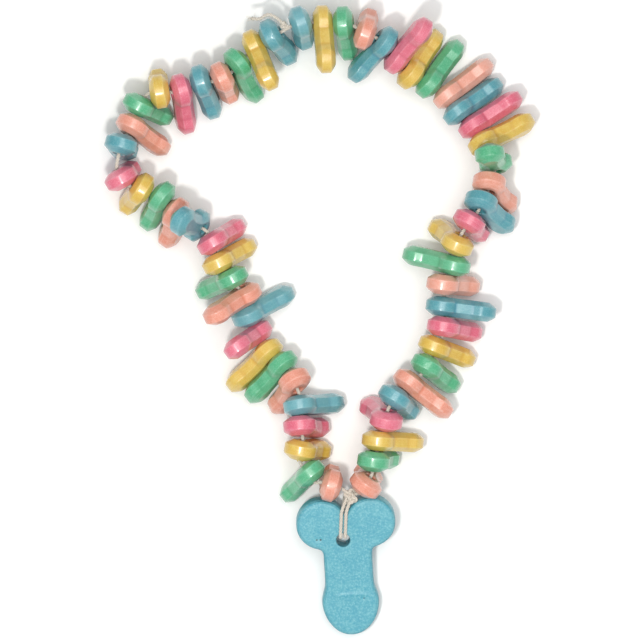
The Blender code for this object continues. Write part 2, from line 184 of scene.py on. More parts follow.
def pendantOutline():
    p = pendant
    lobeAt, lobeRadii = (-p["lobeOffset"], p["lobeAboveHole"]), (p["lobeRadius"],) * 2
    cleft = math.degrees(math.acos(-p["lobeOffset"] / p["lobeRadius"]))
    left = arcPoints(lobeAt, lobeRadii, 180 - cleft, p["lobeEnd"], p["arcSteps"])
    right = [(-x, y) for x, y in reversed(left)]
    headRadii = (p["headHalfWidth"], p["shoulder"] - p["tip"])
    head = arcPoints((0, p["shoulder"]), headRadii, 180, 360, p["arcSteps"])
    leftSide = [(-p["shaftHalfWidth"], p["notch"]), (-p["shaftHalfWidth"], p["neck"])]
    rightSide = [(p["shaftHalfWidth"], p["neck"]), (p["shaftHalfWidth"], p["notch"])]
    outline = left + leftSide + head + rightSide + right[:-1]
    return [(x + p["middle"], y) for x, y in outline]


# Even spacing round a closed outline, with its corners softened.
def evenLoop(points, spacing, softness):
    loop = np.array(points + [points[0]])
    along = np.concatenate([[0], np.cumsum(np.hypot(*np.diff(loop, axis=0).T))])
    count = int(along[-1] / spacing)
    at = np.linspace(0, along[-1], count, endpoint=False)
    even = np.stack([np.interp(at, along, loop[:, k]) for k in (0, 1)], axis=1)
    return softened(even, softness / spacing)


# Gaussian smoothing of a closed loop; the width is counted in points.
def softened(loop, width):
    if width <= 0:
        return loop
    reach = int(3 * width) + 1
    weights = np.exp(-0.5 * (np.arange(-reach, reach + 1) / width) ** 2)
    weights /= weights.sum()
    return sum(w * np.roll(loop, k, axis=0) for w, k in zip(weights, range(-reach, reach + 1)))


def inwardNormals(loop):
    tangent = np.roll(loop, -1, axis=0) - np.roll(loop, 1, axis=0)
    tangent /= np.linalg.norm(tangent, axis=1)[:, None]
    return np.stack([-tangent[:, 1], tangent[:, 0]], axis=1)


# Rim of a pressed tablet. The steps are shares of the way along each stretch of its section, and
# the wear says how pale the sugar is rubbed there.
rim = {
    "bellySteps": (0.0, 0.25, 0.5, 0.72, 0.88),
    "bellyReach": 0.98,
    "bellyEndWear": 0.35,
    "ridgeSteps": (0.0, 0.33, 0.67, 1.0),
    "ridgeCrown": 0.8,
    "chamferSteps": (0.2, 0.4, 0.6, 0.78, 0.9),
    "chamferWear": 0.1,
    "chamferEndWear": 0.4,
    "edgeSteps": (0.0, 0.4, 0.8),
    "edgeRadius": 0.8,
    "edgeWear": 0.7,
    "edgeFade": 0.4,
    "faceDrop": 0.01,
    "softenPast": 0.6,
    "softening": 0.5,
    # How strongly the notches are painted darker (painted shade), by their bend.
    "creaseShadeGain": 2.2,
    "holeSides": 28,
    "lipMargin": 0.02,
    "lipWear": 0.5,
    # Painted shade down the bore of the hole.
    "boreShade": 0.5,
}


# Section of the rim from the middle of the belly to the flat face: (inset, height, wear).
def rimSection(shape):
    half = shape["thickness"] / 2
    bellyTop = shape["belly"] / 2
    inset = shape["chamfer"]
    crown = shape["bellyCrown"]
    r = shape["ridgeRadius"]
    section = []
    for t in rim["bellySteps"]:
        worn = rim["bellyEndWear"] if t == rim["bellySteps"][-1] else 0.0
        section.append((crown * t ** 4, bellyTop * t * rim["bellyReach"], worn))
    corner = np.array([0.0, bellyTop])
    down = np.array([0.0, -1.0])
    slope = np.array([inset, half - bellyTop])
    slope /= np.linalg.norm(slope)
    for t in rim["ridgeSteps"]:
        x, z = corner + down * r * (1 - t) ** 2 + slope * r * t ** 2
        section.append((x + crown * rim["ridgeCrown"], z, 1.0 - abs(t - 0.5)))
    face = np.array([inset, half])
    for t in rim["chamferSteps"]:
        x, z = corner + (face - corner) * t
        lift = shape["chamferCrown"] * math.sin(math.pi * t)
        worn = rim["chamferEndWear"] if t == rim["chamferSteps"][-1] else rim["chamferWear"]
        section.append((x - lift * slope[1], z + lift * slope[0], worn))
    along = np.array([1.0, 0.0])
    for t in rim["edgeSteps"]:
        x, z = face - slope * r * rim["edgeRadius"] * (1 - t) ** 2 + along * r * t ** 2
        section.append((x, z - rim["faceDrop"], rim["edgeWear"] - rim["edgeFade"] * t))
    return section


# Section of the hole from the upper lip to the lower one: (radius, height). The lip rolls over in
# three steps and then runs straight down the bore.
def holeSection(shape):
    half = shape["thickness"] / 2
    lip, r = shape["lipRadius"], shape["holeRadius"]
    roll = [(lip, half - 0.01), ((lip + r) / 2 + 0.05, half - 0.07), (r + 0.05, half - 0.22)]
    bore = [(r, half - 0.5), (r, half * 0.55), (r, half * 0.2)]
    above = roll + bore
    return above + [(radius, -height) for radius, height in reversed(above)]


def insideLoop(points, loop):
    inside = np.zeros(len(points), bool)
    x, y = points.T
    for (ax, ay), (bx, by) in zip(loop, np.roll(loop, -1, axis=0)):
        crosses = (ay > y) != (by > y)
        with np.errstate(divide="ignore", invalid="ignore"):
            at = ax + (y - ay) * (bx - ax) / (by - ay)
        inside ^= crosses & (x < at)
    return inside


# Points inside a flat face: their rows and their least distances, as shares of the grid.
faceNet = {"rowHeight": 0.87, "fromRim": 0.55, "fromLip": 0.5, "insideLip": 0.97}


# Flat face between the rim's last ring and the hole's lip, as triangles over its own points.
def flatFace(ring, lip, grid):
    low, high = ring.min(0), ring.max(0)
    rows = np.arange(low[1], high[1], grid * faceNet["rowHeight"])
    spots = []
    for k, y in enumerate(rows):
        for x in np.arange(low[0] + (k % 2) * grid / 2, high[0], grid):
            spots.append((x, y))
    spots = np.array(spots)
    spots = spots[insideLoop(spots, ring)]
    lipRadius = np.hypot(*lip[0])
    away = np.array([np.hypot(*(ring - s).T).min() for s in spots])
    fromHole = np.hypot(*spots.T)
    spots = spots[(away > grid * faceNet["fromRim"]) & (fromHole > lipRadius + grid * faceNet["fromLip"])]
    points = np.concatenate([ring, lip, spots])
    n, m = len(ring), len(lip)
    edges = [(i, (i + 1) % n) for i in range(n)] + [(n + i, n + (i + 1) % m) for i in range(m)]
    made = geometry.delaunay_2d_cdt([Vector(p) for p in points], edges, [], 1, 1e-6)
    source = [origin[0] for origin in made[3]]
    triangles = []
    for face in made[2]:
        corners = [source[i] for i in face]
        if np.hypot(*points[corners].mean(0)) > lipRadius * faceNet["insideLip"]:
            triangles.append(corners)
    return spots, triangles


# Whole tablet: places in millimetres, faces, wear and painted shade (in the notches and the bore) of each
# point.
def tabletForm(outline, shape):
    loop = evenLoop(outline, shape["spacing"], shape["softness"])
    inward = inwardNormals(loop)
    before = np.roll(inward, 1, axis=0)
    after = np.roll(inward, -1, axis=0)
    bend = (before[:, 0] * after[:, 1] - before[:, 1] * after[:, 0]) / (2 * shape["spacing"])
    # Painted shade in the outline's inner corners, the notches: the sharper the bend, the darker, fading
    # from the belly towards the faces.
    paintedCreaseShade = np.clip(-bend * rim["creaseShadeGain"], 0, 1)
    section = rimSection(shape)
    sections = [(d, -z, w) for d, z, w in reversed(section[1:])] + section
    n = len(loop)
    places, ridge, paintedCreaseShades, faces = [], [], [], []
    for d, z, w in sections:
        softening = rim["softening"] * d / shape["spacing"] if d > rim["softenPast"] else 0
        ring = softened(loop + inward * d, softening)
        places += [(x, y, z) for x, y in ring]
        ridge += [w] * n
        paintedCreaseShades += list(paintedCreaseShade * (1 - min(d / shape["chamfer"], 1)))
    for k in range(len(sections) - 1):
        for i in range(n):
            j = (i + 1) % n
            faces.append((k * n + i, k * n + j, (k + 1) * n + j, (k + 1) * n + i))
    turns = rim["holeSides"]
    angles = np.radians(np.arange(turns) * 360 / turns)
    circle = np.stack([np.cos(angles), np.sin(angles)], axis=1)
    holeStart = len(places)
    holes = holeSection(shape)
    for r, z in holes:
        onLip = r > shape["holeRadius"] + rim["lipMargin"]
        places += [(x * r, y * r, z) for x, y in circle]
        ridge += [rim["lipWear"] if onLip else 0.0] * turns
        # The bore of the hole gets painted shade; the lip gets none.
        paintedCreaseShades += [0.0 if onLip else rim["boreShade"]] * turns
    for k in range(len(holes) - 1):
        a = holeStart + k * turns
        for i in range(turns):
            j = (i + 1) % turns
            faces.append((a + i, a + j, a + turns + j, a + turns + i))
    topStart = (len(sections) - 1) * n
    top = np.array(places)[topStart:topStart + n, :2]
    spots, triangles = flatFace(top, circle * shape["lipRadius"], shape["faceGrid"])
    half = shape["thickness"] / 2 - rim["faceDrop"]
    lowerLip = holeStart + (len(holes) - 1) * turns
    for side, rimStart, lipStart in ((1, topStart, holeStart), (-1, 0, lowerLip)):
        spotStart = len(places)
        places += [(x, y, side * half) for x, y in spots]
        ridge += [0.0] * len(spots)
        paintedCreaseShades += [0.0] * len(spots)
        for corners in triangles:
            face = []
            for c in corners:
                if c < n:
                    face.append(rimStart + c)
                elif c < n + turns:
                    face.append(lipStart + c - n)
                else:
                    face.append(spotStart + c - n - turns)
            faces.append(tuple(face if side > 0 else reversed(face)))
    return {
        "places": np.array(places),
        "normals": pointNormals(np.array(places), faces),
        "faces": faces,
        "ridge": np.array(ridge),
        "paintedCreaseShade": np.array(paintedCreaseShades),
    }


def pointNormals(places, faces):
    mesh = bpy.data.meshes.new("form")
    mesh.from_pydata(places.tolist(), [], faces)
    mesh.update()
    found = np.zeros(len(places) * 3)
    mesh.vertices.foreach_get("normal", found)
    bpy.data.meshes.remove(mesh)
    return found.reshape(-1, 3)


# Unevenness of the press: soft swells and fine grain, as shares of a shape's bumpiness, and chips
# on the ridges, with their depth as a share of their radius.
wear = {
    "noiseReach": 90,
    "swellScale": 0.22,
    "swell": 1.3,
    "fineScale": 0.9,
    "fine": 0.5,
    "sink": 0.6,
    "chipsWhere": 0.8,
    "fewestChips": 2,
    "chipRadius": (0.35, 0.95),
    "chipDepth": (0.16, 0.34),
    "chipFlatness": 1.4,
}


def wornPlaces(form, shape, seed):
    rng = random.Random(seed)
    reach = wear["noiseReach"]
    offset = Vector((rng.uniform(0, reach), rng.uniform(0, reach), rng.uniform(0, reach)))
    places, normals = form["places"], form["normals"]
    swell = np.array([noise.noise(Vector(p) * wear["swellScale"] + offset) for p in places])
    fine = np.array([noise.noise(Vector(p) * wear["fineScale"] + offset * 2) for p in places])
    bumps = shape["bumpiness"]
    lift = bumps * (swell * wear["swell"] + fine * wear["fine"]) - bumps * wear["sink"]
    chipped = np.zeros(len(places))
    ridges = list(np.flatnonzero(form["ridge"] > wear["chipsWhere"]))
    for _ in range(rng.randint(wear["fewestChips"], shape["chips"])):
        centre = places[rng.choice(ridges)]
        radius = rng.uniform(*wear["chipRadius"])
        depth = radius * rng.uniform(*wear["chipDepth"])
        near = np.linalg.norm((places - centre) * (1, 1, wear["chipFlatness"]), axis=1) / radius
        bite = np.clip(1 - near ** 2, 0, 1)
        lift -= depth * bite
        chipped = np.maximum(chipped, bite)
    return places + normals * lift[:, None], chipped, offset


def addPiece(name, places, faces, material, attributes=None):
    mesh = bpy.data.meshes.new(name)
    mesh.from_pydata(np.asarray(places).tolist(), [], faces)
    mesh.update()
    mesh.polygons.foreach_set("use_smooth", [True] * len(mesh.polygons))
    for title, values in (attributes or {}).items():
        values = np.asarray(values, dtype=np.float32)
        kind = "FLOAT_VECTOR" if values.ndim == 2 else "FLOAT"
        layer = mesh.attributes.new(title, kind, "POINT")
        layer.data.foreach_set("vector" if values.ndim == 2 else "value", values.ravel())
    mesh.materials.append(material)
    piece = bpy.data.objects.new(name, mesh)
    bpy.context.scene.collection.objects.link(piece)
    return piece


def newMaterial(name):
    material = bpy.data.materials.new(name)
    material.use_nodes = True
    return material, material.node_tree, material.node_tree.nodes["Principled BSDF"]


# Sets a socket to a value, or links another socket to it.
def feed(tree, socket, value):
    if isinstance(value, bpy.types.NodeSocket):
        tree.links.new(value, socket)
    else:
        socket.default_value = value


def attribute(tree, name, output="Fac"):
    made = tree.nodes.new("ShaderNodeAttribute")
    made.attribute_name = name
    return made.outputs[output]


def mixColour(tree, factor, first, second):
    mix = tree.nodes.new("ShaderNodeMix")
    mix.data_type = "RGBA"
    feed(tree, mix.inputs[0], factor)
    for socket, value in ((mix.inputs[6], first), (mix.inputs[7], second)):
        feed(tree, socket, (*value, 1.0) if isinstance(value, tuple) else value)
    return mix.outputs[2]


def ramp(tree, source, low, high, start=0.0, end=1.0):
    span = tree.nodes.new("ShaderNodeMapRange")
    span.clamp = True
    tree.links.new(source, span.inputs[0])
    for k, value in enumerate((low, high, start, end), start=1):
        span.inputs[k].default_value = value
    return span.outputs[0]


def mathNode(tree, operation, first, second):
    made = tree.nodes.new("ShaderNodeMath")
    made.operation = operation
    feed(tree, made.inputs[0], first)
    feed(tree, made.inputs[1], second)
    return made.outputs[0]


def times(tree, first, second):
    return mathNode(tree, "MULTIPLY", first, second)


def added(tree, first, second):
    return mathNode(tree, "ADD", first, second)


def stretched(tree, source, scale):
    mapping = tree.nodes.new("ShaderNodeMapping")
    mapping.inputs["Scale"].default_value = scale
    tree.links.new(source, mapping.inputs["Vector"])
    return mapping.outputs["Vector"]


def grain(tree, source, scale, detail, roughness):
    texture = tree.nodes.new("ShaderNodeTexNoise")
    texture.inputs["Scale"].default_value = scale
    texture.inputs["Detail"].default_value = detail
    texture.inputs["Roughness"].default_value = roughness
    tree.links.new(source, texture.inputs["Vector"])
    return texture.outputs["Fac"]


def addBump(tree, shader, height, strength, distance):
    bump = tree.nodes.new("ShaderNodeBump")
    bump.inputs["Strength"].default_value = strength
    bump.inputs["Distance"].default_value = distance
    tree.links.new(height, bump.inputs["Height"])
    tree.links.new(bump.outputs["Normal"], shader.inputs["Normal"])


# Colours are linear: body, deep (mottles, and painted shade in the notches and down the hole's bore) and
# pale (worn sugar).
candyColours = {
    "orange_candy": {
        "body": (0.708, 0.272, 0.19),
        "deep": (0.616, 0.185, 0.10),
        "pale": (0.81, 0.475, 0.387),
    },
    "green_candy": {
        "body": (0.05, 0.372, 0.172),
        "deep": (0.042, 0.30, 0.133),
        "pale": (0.21, 0.53, 0.338),
    },
    "yellow_candy": {
        "body": (0.642, 0.425, 0.052),
        "deep": (0.56, 0.313, 0.029),
        "pale": (0.73, 0.575, 0.197),
    },
    "pink_candy": {
        "body": (0.672, 0.108, 0.178),
        "deep": (0.55, 0.076, 0.13),
        "pale": (0.75, 0.31, 0.37),
    },
    "blue_candy": {
        "body": (0.062, 0.297, 0.337),
        "deep": (0.045, 0.224, 0.30),
        "pale": (0.23, 0.447, 0.48),
    },
    "pendant_candy": {
        "body": (0.088, 0.352, 0.423),
        "deep": (0.036, 0.268, 0.387),
        "pale": (0.2, 0.475, 0.53),
    },
}
# The beads are glossy and the pendant is matt. Clouds and speckles are repeats per millimetre.
candyFinish = {
    "gloss": {
        "roughness": 0.44,
        "coat": 0.9,
        "coatRoughness": 0.2,
        "clouds": 0.32,
        "cloudiness": 1.0,
        "speckles": 3.2,
        "speckling": 0.45,
        "streaking": 1.0,
        "bump": 0.5,
    },
    "matt": {
        "roughness": 0.5,
        "coat": 0.12,
        "coatRoughness": 0.35,
        "clouds": 0.34,
        "cloudiness": 0.8,
        "speckles": 1.5,
        "speckling": 0.7,
        "streaking": 0.0,
        "bump": 0.7,
    },
}
# What all the candy shares. The scales are repeats per millimetre, the lengths are metres.
sugar = {
    "dust": 7.5,
    "streakStretch": (0.16, 0.16, 4.5),
    "rubbing": 1.1,
    "chipPaleness": 0.7,
    # Strength of the painted shade in the notches and the bore, in the deep colour.
    "creaseShade": 0.75,
    "strays": 0.42,  # dark crumbs pressed into the sugar
    "strayRadii": (0.075, 0.05),
    "strayShade": 0.5,
    "speckColour": (0.03, 0.045, 0.05),
    "speckShade": 0.85,
    "speckCore": 0.6,
    "roughnessSpread": (-0.06, 0.1),
    "wornRoughness": 0.12,
    "chipRoughness": 0.2,
    "speckleHeight": 0.6,
    "dustHeight": 0.35,
    "streakHeight": 0.5,
    "bumpDistance": 0.00009,
    "scatter": 0.12,
    "scatterRadius": (1.0, 0.6, 0.5),
    "scatterScale": 0.0012,
    "ior": 1.5,
}


def candyMaterial(slotName, finish, specks=()):
    colours = candyColours[slotName]
    material, tree, shader = newMaterial("pressed_" + slotName)
    place = attribute(tree, "grainPlace", "Vector")
    ridge = attribute(tree, "ridge")
    paintedCreaseShade = attribute(tree, "paintedCreaseShade")
    chip = attribute(tree, "chip")
    tone = attribute(tree, "tone")

    clouds = grain(tree, place, finish["clouds"], 3.0, 0.6)
    speckle = grain(tree, place, finish["speckles"], 3.0, 0.65)
    dust = grain(tree, place, sugar["dust"], 1.0, 0.5)
    streaks = grain(tree, stretched(tree, place, sugar["streakStretch"]), 1.0, 3.0, 0.6)
    cloudy, speckled, streaked = finish["cloudiness"], finish["speckling"], finish["streaking"]
    # Each layer: its grain, where it starts and is full, its strength and its colour.
    layers = [
        (clouds, 0.42, 0.72, 0.45 * cloudy, "deep"),
        (clouds, 0.5, 0.26, 0.4 * cloudy, "pale"),
        (streaks, 0.54, 0.74, 0.4 * streaked, "pale"),
        (streaks, 0.46, 0.28, 0.3 * streaked, "deep"),
        (speckle, 0.51, 0.66, speckled, "pale"),
        (speckle, 0.48, 0.34, speckled, "deep"),
    ]
    colour = colours["body"]
    for source, start, full, strength, over in layers:
        colour = mixColour(tree, ramp(tree, source, start, full, 0.0, strength), colour, colours[over])
    rubbing = grain(tree, place, sugar["rubbing"], 3.0, 0.7)
    rubbed = times(tree, ridge, ramp(tree, rubbing, 0.38, 0.62, 0.1, 0.75))
    colour = mixColour(tree, rubbed, colour, colours["pale"])
    colour = mixColour(tree, times(tree, chip, sugar["chipPaleness"]), colour, colours["pale"])
    # Painted shade: the notches and the bore are darkened towards the deep colour.
    colour = mixColour(tree, times(tree, paintedCreaseShade, sugar["creaseShade"]), colour, colours["deep"])
    colour = mixColour(tree, tone, colour, colours["pale"])

    # Stray dark crumbs pressed into the sugar, few and tiny.
    cells = tree.nodes.new("ShaderNodeTexVoronoi")
    cells.inputs["Scale"].default_value = sugar["strays"]
    tree.links.new(place, cells.inputs["Vector"])
    stray = ramp(tree, cells.outputs["Distance"], *sugar["strayRadii"], 0.0, sugar["strayShade"])
    colour = mixColour(tree, stray, colour, colours["deep"])
    # Dark specks at their own places on the face.
    ownPlace = tree.nodes.new("ShaderNodeTexCoord").outputs["Object"]
    for spot, radius in specks:
        away = tree.nodes.new("ShaderNodeVectorMath")
        away.operation = "DISTANCE"
        away.inputs[1].default_value = spot
        tree.links.new(ownPlace, away.inputs[0])
        core = radius * sugar["speckCore"]
        inside = ramp(tree, away.outputs["Value"], radius, core, 0.0, sugar["speckShade"])
        colour = mixColour(tree, inside, colour, sugar["speckColour"])
    tree.links.new(colour, shader.inputs["Base Color"])

    rough = added(tree, ramp(tree, speckle, 0.3, 0.7, *sugar["roughnessSpread"]), finish["roughness"])
    rough = added(tree, rough, times(tree, rubbed, sugar["wornRoughness"]))
    rough = added(tree, rough, times(tree, chip, sugar["chipRoughness"]))
    tree.links.new(rough, shader.inputs["Roughness"])

    height = times(tree, speckle, sugar["speckleHeight"])
    height = added(tree, height, times(tree, dust, sugar["dustHeight"]))
    height = added(tree, height, times(tree, streaks, sugar["streakHeight"]))
    addBump(tree, shader, height, finish["bump"], sugar["bumpDistance"])

    shader.inputs["Coat Weight"].default_value = finish["coat"]
    shader.inputs["Coat Roughness"].default_value = finish["coatRoughness"]
    shader.inputs["Subsurface Weight"].default_value = sugar["scatter"]
    shader.inputs["Subsurface Radius"].default_value = sugar["scatterRadius"]
    shader.inputs["Subsurface Scale"].default_value = sugar["scatterScale"]
    shader.inputs["IOR"].default_value = sugar["ior"]
    return material


# The CAD solid of a bead: its length, width and thickness, and the hole's place from the ball end.
beadSolid = {
    "length": 23.3,
    "width": 10.592,
    "thickness": 6.3,
    "holeFromBall": 6.2,
    "holeReach": 2.2,
}


# Where a bead lies, read from its CAD solid: the three symmetry axes, the size and the hole.
def readBead(name):
    corners = np.unique(np.array([v.co[:] for v in frame["nodes"][name].data.vertices]), axis=0)
    middle = corners.mean(0)
    axes = np.linalg.eigh(np.cov((corners - middle).T))[1]
    spans = np.ptp((corners - middle) @ axes, axis=0)
    thick, wide, long = axes[:, np.argsort(spans)].T
    local = (corners - middle) @ np.array([long, wide, thick]).T
    low, high = local.min(0), local.max(0)
    size = (high - low) / (np.array([beadSolid[k] for k in ("length", "width", "thickness")]) * mm)
    centreY, centreZ = (low[1] + high[1]) / 2, (low[2] + high[2]) / 2
    reach = beadSolid["holeFromBall"] * mm * size[0]
    spots = []
    for sign, x in ((1, low[0] + reach), (-1, high[0] - reach)):
        near = np.hypot(local[:, 0] - x, local[:, 1] - centreY)
        spots.append((np.sum(near < beadSolid["holeReach"] * mm), sign, x))
    _, sign, x = max(spots)  # the hole's rim has the most corners near it
    hole = middle + np.array([x, centreY, centreZ]) @ np.array([long, wide, thick])
    return {"name": name, "head": long * sign, "axis": thick, "hole": hole, "size": size}


def readBeads():
    beads = [readBead(name) for name in sorted(frame["nodes"]) if name.startswith("bead_")]
    for i, one in enumerate(beads):
        before = beads[max(i - 1, 0)]["hole"]
        after = beads[min(i + 1, len(beads) - 1)]["hole"]
        if np.dot(one["axis"], after - before) < 0:
            one["axis"] = -one["axis"]
        one["side"] = np.cross(one["axis"], one["head"])
    return beads


def makeBeads(beads, materials):
    form = tabletForm(beadOutline(), bead)
    slots = {part["node"]: part["material_slot"] for part in frame["record"]["subparts"]}
    for number, one in enumerate(beads, start=1):
        rng = random.Random(bead["toneSeed"] + number)
        tone = rng.uniform(0.0, bead["toneSpread"]) + bead["paler"].get(number, 0.0)
        places, chipped, offset = wornPlaces(form, bead, number)
        turn = np.array([one["head"], one["side"], one["axis"]])
        world = (places * mm * one["size"]) @ turn + one["hole"]
        world = np.clip(world, cadLow, cadHigh)
        slotName = slots[one["name"]]
        attributes = {
            "grainPlace": form["places"] + np.array(offset),
            "ridge": form["ridge"],
            "paintedCreaseShade": form["paintedCreaseShade"],
            "chip": chipped,
            "tone": np.full(len(world), tone),
        }
        piece = addPiece(f"candy_{number:02d}", world, form["faces"], materials[slotName], attributes)
        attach(piece, "root")
        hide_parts(one["name"])
    print(f"beads: {len(beads)} made, {len(form['faces'])} faces each")


# Where the pendant lies: its hole's centre and its turn and tilt, read from its CAD solid.
def pendantPlace():
    turn = Matrix.Rotation(math.radians(pendant["turn"]), 3, "Z")
    turn = turn @ Matrix.Rotation(math.radians(pendant["tilt"]), 3, "X")
    corners = np.array([v.co[:] for v in frame["nodes"]["pendant"].data.vertices]) @ np.array(turn)
    low, high = corners.min(0), corners.max(0)
    holeX = (low[0] + high[0]) / 2 - pendant["middle"] * mm
    origin = Vector((holeX, low[1] - pendant["solidTip"] * mm, (low[2] + high[2]) / 2))
    return Matrix.Translation(turn @ origin) @ turn.to_4x4()


# World places and radii of the specks, at the bottom of their pits.
def speckSpots(place):
    height = (pendant["thickness"] / 2 - pits["depth"]) * mm
    spots = []
    for (x, y), radius in zip(pits["places"], pits["speckRadii"]):
        spots.append((place @ Vector((x * mm, y * mm, height)), radius * mm))
    return spots


def makePendant(place, materials):
    form = tabletForm(pendantOutline(), pendant)
    places, chipped, offset = wornPlaces(form, pendant, pendant["seed"])
    x, y, z = form["places"].T
    fromMiddle = x - pendant["middle"]
    above = y - (headLine["at"] - headLine["bend"] * fromMiddle ** 2 + headLine["offset"])
    fade = np.clip(1 - (np.abs(fromMiddle - headLine["sideways"]) / headLine["halfLength"]) ** 4, 0, 1)
    lift = np.exp(-(above / headLine["width"]) ** 2) * headLine["height"]
    trough = np.exp(-((above - headLine["troughAt"]) / headLine["troughWidth"]) ** 2)
    lift -= trough * headLine["height"] * headLine["troughShare"]
    face = z > pendant["thickness"] / 2 - pendant["faceMargin"]
    places[:, 2] += np.where(face, lift * fade - pendant["faceSink"], 0)
    for pitX, pitY in pits["places"]:
        away = np.hypot(x - pitX, y - pitY) / pits["radius"]
        places[:, 2] -= np.where(face, np.clip(1 - away ** 2, 0, 1) * pits["depth"], 0)
    attributes = {
        "grainPlace": form["places"] + np.array(offset),
        "ridge": form["ridge"] * pendant["ridgeShare"],
        "paintedCreaseShade": form["paintedCreaseShade"] * pendant["creaseShadeShare"],
        "chip": chipped,
        "tone": np.full(len(places), pendant["tone"]),
    }
    turn = np.array(place.to_3x3())
    world = (places * mm) @ turn.T + np.array(place.translation)
    world = np.clip(world, cadLow, cadHigh)
    piece = addPiece("candy_pendant", world, form["faces"], materials["pendant_candy"], attributes)
    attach(piece, "root")
    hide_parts("pendant")
    print(f"pendant: {len(form['faces'])} faces")


# String: three plies laid round each other, with two knots above the pendant, one where the loop
# is tied at the top, and a frayed tail.
string = {
    "radius": 0.62,
    "ply": 0.36,
    "plyOffset": 0.27,
    "twistLength": 3.4,
    "sides": 7,
    "step": 0.42,
    "spanSteps": 10,
    "shortGap": 2.4,
    "strandOffset": 0.75,
    "rideGap": 0.05,
    "knotSteps": 60,
    "knotStretch": 1.1,
    "knotRise": 1.28,
    "knot": {"pixel": (350.3, 494.3), "height": 15.6, "size": 0.56, "turn": 0.4},
    "lowerKnot": {"pixel": (351.8, 499.0), "height": 16.1, "size": 0.44, "turn": 1.5},
    "tie": {"afterBead": 29, "size": 0.3, "turn": 1.1},
    "tailPixels": [(284, 25.5), (276.5, 18.5), (268, 15), (260, 19), (252, 18.5)],
    "tailRise": [0, 0.5, 0.3, -1.2, -3.0],
    "seed": 77,
    "fibres": 16,
    "fibreRadius": 0.075,
    "fibreLength": 2.6,
    "fibreSteps": 6,
    "fibreWander": 0.35,
    "fibreTaper": 0.6,
    "fibreSpread": 0.5,
    "fibreBack": 0.8,
    "fibreScatter": 0.4,
}
stringLook = {
    "body": (0.66, 0.60, 0.51),
    # darker colour: dirt on the yarn, and the painted shade between the plies
    "dirtAndShade": (0.36, 0.30, 0.23),
    "light": (0.84, 0.80, 0.72),
    "yarnStretch": (0.5, 3.0, 1.0),
    "yarn": 3.0,
    "fuzz": 2.2,
    "lightShare": 0.7,
    "dirtShare": 0.4,
    # how dark the painted shade between the plies is
    "plyGapShadeShare": 0.7,
    "roughness": (0.78, 0.95),
    "bump": 0.8,
    "bumpDistance": 0.00012,
    "sheen": 0.25,
    "sheenRoughness": 0.5,
}


def stringMaterial():
    look = stringLook
    material, tree, shader = newMaterial("twisted_string")
    lay = attribute(tree, "grainPlace", "Vector")
    plyGapShade = attribute(tree, "plyGapShade")
    yarn = grain(tree, stretched(tree, lay, look["yarnStretch"]), look["yarn"], 3.0, 0.6)
    fuzz = grain(tree, lay, look["fuzz"], 3.0, 0.6)
    lit = ramp(tree, yarn, 0.4, 0.7, 0.0, look["lightShare"])
    colour = mixColour(tree, lit, look["body"], look["light"])
    dirty = ramp(tree, fuzz, 0.5, 0.3, 0.0, look["dirtShare"])
    colour = mixColour(tree, dirty, colour, look["dirtAndShade"])
    # Painted shade where the plies meet, in the darker colour.
    colour = mixColour(tree, times(tree, plyGapShade, look["plyGapShadeShare"]), colour, look["dirtAndShade"])
    tree.links.new(colour, shader.inputs["Base Color"])
    tree.links.new(ramp(tree, fuzz, 0.3, 0.7, *look["roughness"]), shader.inputs["Roughness"])
    addBump(tree, shader, yarn, look["bump"], look["bumpDistance"])
    shader.inputs["Sheen Weight"].default_value = look["sheen"]
    shader.inputs["Sheen Roughness"].default_value = look["sheenRoughness"]
    return material


# Smooth curve through the points.
def smoothRoute(points, closed=False):
    points = [Vector(p) for p in points]
    if closed:
        padded = [points[-1]] + points + points[:2]
    else:
        padded = [points[0] * 2 - points[1]] + points + [points[-1] * 2 - points[-2]]
    route = []
    for a, b, c, d in zip(padded, padded[1:], padded[2:], padded[3:]):
        for i in range(string["spanSteps"]):
            t = i / string["spanSteps"]
            route.append(0.5 * (2 * b + (c - a) * t + (2 * a - 5 * b + 4 * c - d) * t * t
                                + (3 * b - a - 3 * c + d) * t ** 3))
    if not closed:
        route.append(points[-1])
    return np.array([r[:] for r in route])


def evenRoute(route, step, closed):
    if closed:
        route = np.concatenate([route, route[:1]])
    along = np.concatenate([[0], np.cumsum(np.linalg.norm(np.diff(route, axis=0), axis=1))])
    count = max(int(along[-1] / step), 4)
    at = np.linspace(0, along[-1], count, endpoint=not closed)
    return np.stack([np.interp(at, along, route[:, k]) for k in range(3)], axis=1), along[-1]


# Directions across the route that turn as little as possible along it.
def acrossRoute(route, closed):
    if closed:
        tangents = np.roll(route, -1, axis=0) - np.roll(route, 1, axis=0)
    else:
        tangents = np.gradient(route, axis=0)
    tangents /= np.linalg.norm(tangents, axis=1)[:, None]
    side = np.cross(tangents[0], (0.3, 0.2, 1.0))  # any start that isn't along the route
    sides = []
    for t in tangents:
        side = side - t * np.dot(side, t)
        side /= np.linalg.norm(side)
        sides.append(side)
    sides = np.array(sides)
    return sides, np.cross(tangents, sides)


